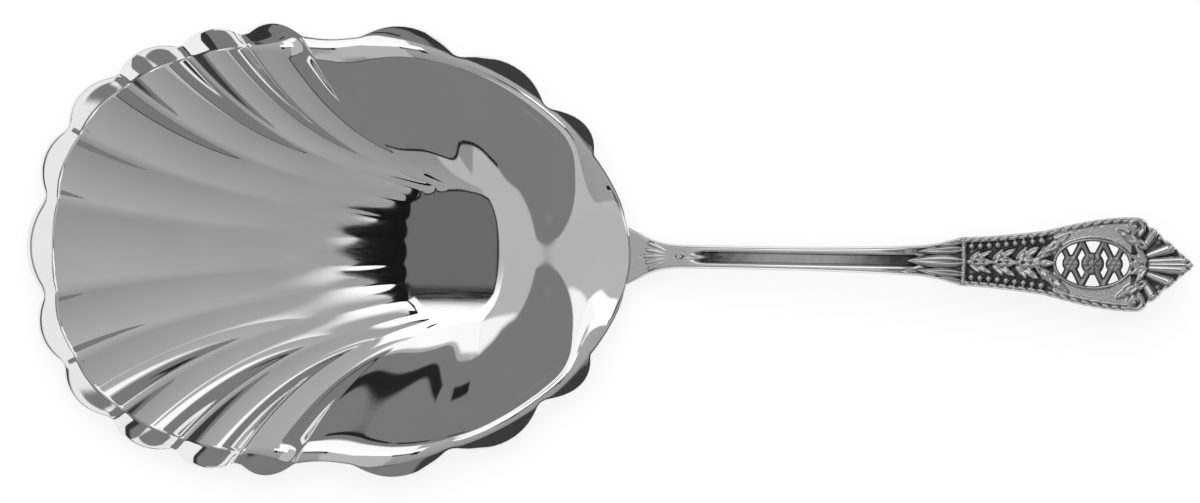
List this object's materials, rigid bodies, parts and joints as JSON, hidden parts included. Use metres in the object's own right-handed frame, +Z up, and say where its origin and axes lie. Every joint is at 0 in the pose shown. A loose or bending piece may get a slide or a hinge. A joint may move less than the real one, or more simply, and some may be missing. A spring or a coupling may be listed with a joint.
{
  "type": "cracker spoon",
  "caption": "Serving spoon with a fluted shell bowl, a scalloped lip turned out at the sides and back, a channelled stem and a pierced trellis end.",
  "frame": {"origin": "centre of the flat foot under the bowl, on the plane it rests on", "axes": "+X from the bowl to the tip of the handle, +Y across the bowl, +Z up out of the bowl"},
  "size_m": [0.2161, 0.0844, 0.0175],
  "materials": {
    "bowl_silver": "polished silver sheet with fine wear",
    "handle_silver": "polished silver with darkened recesses",
    "silver_solder": "satin silver solder"
  },
  "bodies": {
    "root": {"bowl": "bowl_silver", "handle": "handle_silver", "solder_joint": "silver_solder"}
  },
  "joints": []
}
